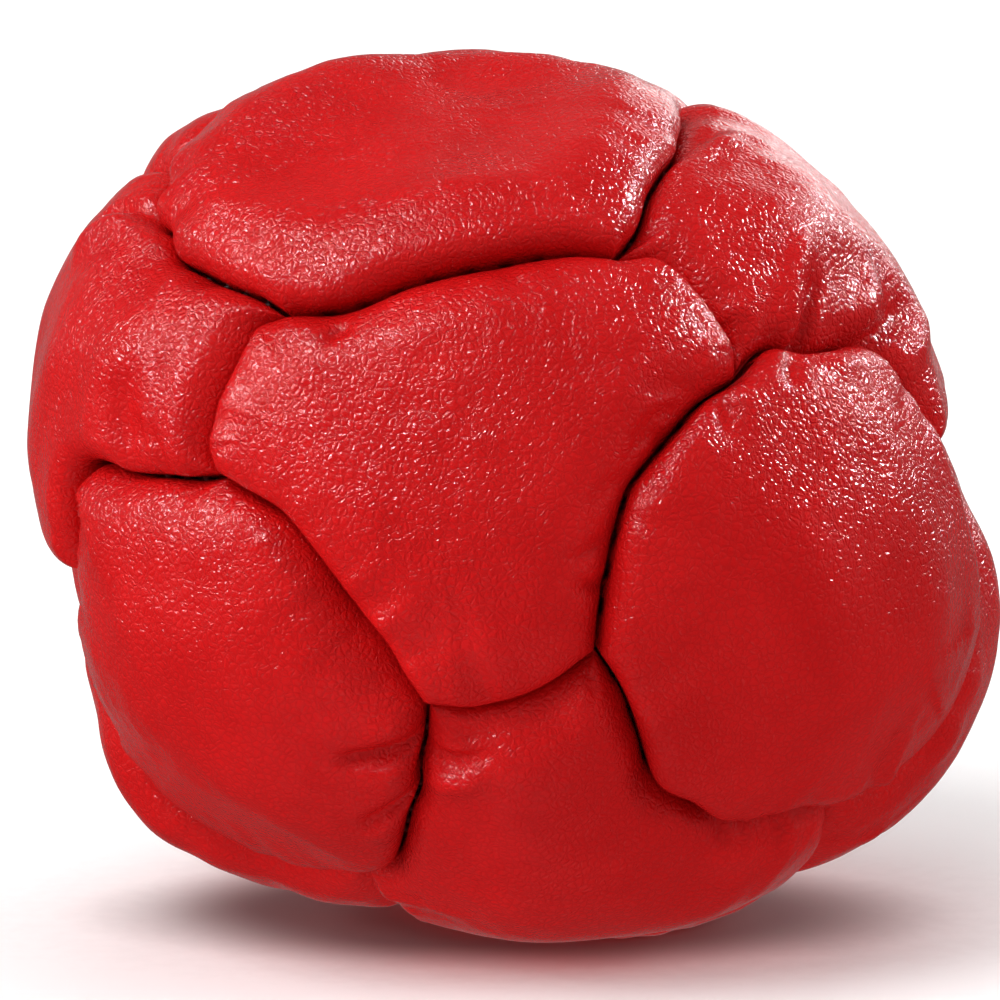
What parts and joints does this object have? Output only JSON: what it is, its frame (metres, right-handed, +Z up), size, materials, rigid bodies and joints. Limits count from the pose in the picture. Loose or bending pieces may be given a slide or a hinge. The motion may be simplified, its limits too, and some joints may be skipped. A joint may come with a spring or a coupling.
{
  "type": "footbag",
  "caption": "Small round leather footbag sewn from domed panels with turned-in, whip-stitched seams and filled with sand, for juggling with the feet.",
  "frame": {"origin": "centre of the ball's box, on the flat patch that it rests on", "axes": "+Z up from the resting patch; +Y away from the side that the picture shows; +X to that side's right"},
  "size_m": [0.055, 0.0536, 0.0504],
  "materials": {
    "red_leather": "glossy fine-grained synthetic or coated leather",
    "waxed_thread": "waxed round thread",
    "sand": "packed dry sand"
  },
  "bodies": {
    "root": {"top_square": "red_leather", "base_square": "red_leather", "left_square": "red_leather", "right_square": "red_leather", "rear_left_square": "red_leather", "rear_right_square": "red_leather", "front_hexagon": "red_leather", "rear_hexagon": "red_leather", "upper_left_hexagon": "red_leather", "upper_right_hexagon": "red_leather", "upper_rear_hexagon": "red_leather", "lower_front_hexagon": "red_leather", "lower_left_hexagon": "red_leather", "lower_right_hexagon": "red_leather", "stitching_top_front": "waxed_thread", "stitching_top_upper_left": "waxed_thread", "stitching_top_upper_right": "waxed_thread", "stitching_top_upper_rear": "waxed_thread", "stitching_base_lower_front": "waxed_thread", "stitching_base_lower_left": "waxed_thread", "stitching_base_lower_right": "waxed_thread", "stitching_base_rear": "waxed_thread", "stitching_left_front": "waxed_thread", "stitching_left_lower_front": "waxed_thread", "stitching_left_lower_left": "waxed_thread", "stitching_left_upper_left": "waxed_thread", "stitching_right_front": "waxed_thread", "stitching_right_lower_front": "waxed_thread", "stitching_right_lower_right": "waxed_thread", "stitching_right_upper_right": "waxed_thread", "stitching_rear_left_lower_left": "waxed_thread", "stitching_rear_left_rear": "waxed_thread", "stitching_rear_left_upper_left": "waxed_thread", "stitching_rear_left_upper_rear": "waxed_thread", "stitching_rear_right_lower_right": "waxed_thread", "stitching_rear_right_rear": "waxed_thread", "stitching_rear_right_upper_rear": "waxed_thread", "stitching_rear_right_upper_right": "waxed_thread", "stitching_front_lower_front": "waxed_thread", "stitching_front_upper_left": "waxed_thread", "stitching_front_upper_right": "waxed_thread", "stitching_upper_left_lower_left": "waxed_thread", "stitching_upper_left_upper_rear": "waxed_thread", "stitching_upper_right_lower_right": "waxed_thread", "stitching_upper_right_upper_rear": "waxed_thread", "stitching_upper_rear_rear": "waxed_thread", "stitching_lower_front_lower_left": "waxed_thread", "stitching_lower_front_lower_right": "waxed_thread", "stitching_lower_left_rear": "waxed_thread", "stitching_lower_right_rear": "waxed_thread", "sand_filling": "sand"}
  },
  "joints": []
}
